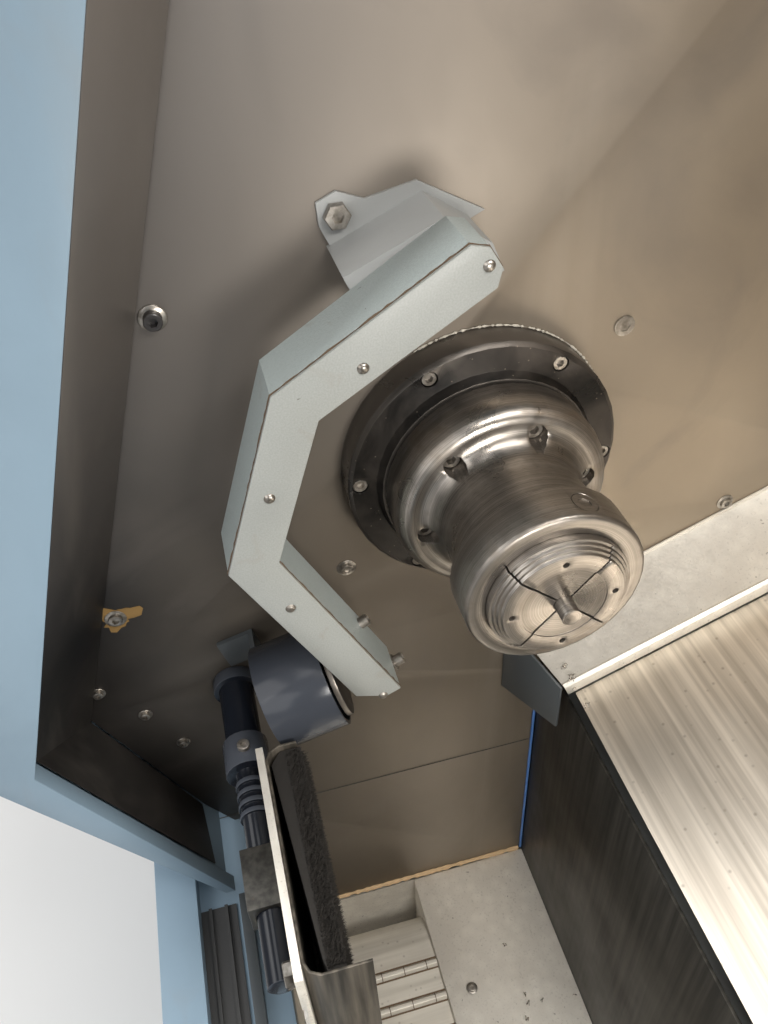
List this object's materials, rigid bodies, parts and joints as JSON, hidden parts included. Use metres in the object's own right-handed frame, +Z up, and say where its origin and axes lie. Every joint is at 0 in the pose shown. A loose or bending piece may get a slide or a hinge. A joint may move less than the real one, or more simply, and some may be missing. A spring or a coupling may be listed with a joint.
{
  "type": "cnc turning lathe",
  "caption": "Compact slant-bed CNC turning lathe with its sliding door open on the collet nose, bar, tool presetter arm, parts catcher, way covers and turret.",
  "frame": {"origin": "middle of the footprint on the floor", "axes": "+X along the spindle from the headstock to the tailstock end, +Y away from the operator, +Z up"},
  "size_m": [2.04, 1.264, 1.7603],
  "materials": {
    "satin_steel": "satin",
    "brushed_steel": "brushed",
    "turned_steel": "turned",
    "black_steel": "blackened",
    "galvanised": "galvanised, speckled",
    "grey_paint": "satin",
    "dark_paint": "satin",
    "cream_coat": "textured powder coat",
    "casting_paint": "matt",
    "cast_iron": "as cast",
    "gloss_black": "gloss",
    "bristle": "matt bristle",
    "rubber": "matt",
    "glass": "clear",
    "red_plastic": "gloss"
  },
  "bodies": {
    "machine": {"base_casting": "casting_paint", "headstock_wall": "satin_steel", "jamb_frame": "grey_paint", "wall_margin": "satin_steel", "left_cabinet": "grey_paint", "right_cabinet": "grey_paint", "rear_cover": "grey_paint", "front_panel": "grey_paint", "door_track": "dark_paint", "right_splash_wall": "satin_steel", "rear_splash_wall": "satin_steel", "chip_pan": "galvanised", "conveyor_belt": "brushed_steel", "bed_side_panel": "satin_steel", "way_cover_fixed": "brushed_steel", "ledge_cover": "galvanised", "ledge_end": "dark_paint", "lower_rail": "brushed_steel", "upper_rail": "brushed_steel", "headstock_casting": "casting_paint", "front_bearing": "turned_steel", "rear_bearing": "turned_steel", "bearing_flange": "black_steel", "drive_belt": "rubber", "spindle_motor": "cast_iron", "feed_motor": "dark_paint", "presetter_bracket": "satin_steel", "probe_cup": "gloss_black", "cup_bracket": "dark_paint", "catcher_bearing": "gloss_black", "control_arm": "grey_paint"},
    "spindle": {"spindle_shaft": "turned_steel", "collet_nose": "turned_steel", "spindle_pulley": "cast_iron"},
    "draw_bar": {"collet": "turned_steel", "draw_tube": "turned_steel", "bar_stock": "galvanised"},
    "motor_rotor": {"motor_pulley": "cast_iron"},
    "feed_screw": {"ball_screw": "turned_steel"},
    "saddle": {"carriage": "casting_paint", "way_cover_moving": "brushed_steel", "way_cover_right": "brushed_steel"},
    "turret_slide": {"cross_slide": "casting_paint"},
    "turret": {"turret_disc": "black_steel"},
    "presetter": {"presetter_shaft": "black_steel", "presetter_arm": "cream_coat", "presetter_cover": "cream_coat", "presetter_probe": "black_steel"},
    "parts_catcher": {"catcher_shaft": "turned_steel", "catcher_block": "dark_paint", "catcher_plate": "galvanised", "catcher_chute": "satin_steel", "catcher_lining": "bristle"},
    "door": {"door_frame": "grey_paint", "door_window": "glass", "door_handle": "dark_paint"},
    "control_panel": {"control_housing": "grey_paint", "control_screen": "glass"},
    "handwheel": {"jog_handwheel": "rubber"},
    "stop_button": {"emergency_stop": "red_plastic"}
  },
  "joints": [
    {"name": "spindle_spin", "type": "hinge", "parent": "machine", "child": "spindle", "pos_m": [-0.4, -0.04795, 1.05], "axis": [1, 0, 0], "continuous": true},
    {"name": "collet_draw", "type": "slide", "parent": "spindle", "child": "draw_bar", "axis": [1, 0, 0], "range_m": [0, 0.003]},
    {"name": "motor_spin", "type": "hinge", "parent": "machine", "child": "motor_rotor", "pos_m": [-0.92, -0.10795, 0.49], "axis": [1, 0, 0], "continuous": true},
    {"name": "carriage_feed", "type": "slide", "parent": "machine", "child": "saddle", "axis": [1, 0, 0], "range_m": [-0.235, 0]},
    {"name": "screw_spin", "type": "hinge", "parent": "machine", "child": "feed_screw", "pos_m": [0.1, 0.24065, 0.85637], "axis": [1, 0, 0], "range_deg": [-4240, 10]},
    {"name": "cross_feed", "type": "slide", "parent": "saddle", "child": "turret_slide", "axis": [0, 0.9205, 0.3907], "range_m": [-0.17, 0.005]},
    {"name": "turret_index", "type": "hinge", "parent": "turret_slide", "child": "turret", "pos_m": [0.1, 0.25121, 1.17699], "axis": [1, 0, 0], "continuous": true},
    {"name": "presetter_swing", "type": "hinge", "parent": "machine", "child": "presetter", "pos_m": [-0.35, -0.08495, 1.2335], "axis": [1, 0, 0], "range_deg": [0, 17]},
    {"name": "catcher_swing", "type": "hinge", "parent": "machine", "child": "parts_catcher", "pos_m": [-0.3, -0.26695, 0.849], "axis": [1, 0, 0], "range_deg": [0, 88]},
    {"name": "door_slide", "type": "slide", "parent": "machine", "child": "door", "axis": [1, 0, 0], "range_m": [-0.62, 0]},
    {"name": "panel_swivel", "type": "hinge", "parent": "machine", "child": "control_panel", "pos_m": [0.84, -0.54795, 1.25], "axis": [0, 0, 1], "range_deg": [-20, 20]},
    {"name": "handwheel_turn", "type": "hinge", "parent": "control_panel", "child": "handwheel", "pos_m": [0.945, -0.61145, 1.11], "axis": [0, 1, 0], "continuous": true},
    {"name": "stop_press", "type": "slide", "parent": "control_panel", "child": "stop_button", "axis": [0, 1, 0], "range_m": [0, 0.004], "stiffness_N_per_m": 800}
  ],
  "couplings": [
    {"joint": "motor_spin", "follows": "spindle_spin", "ratio": 1.5},
    {"joint": "screw_spin", "follows": "carriage_feed", "rad_per_m": 314.16}
  ]
}
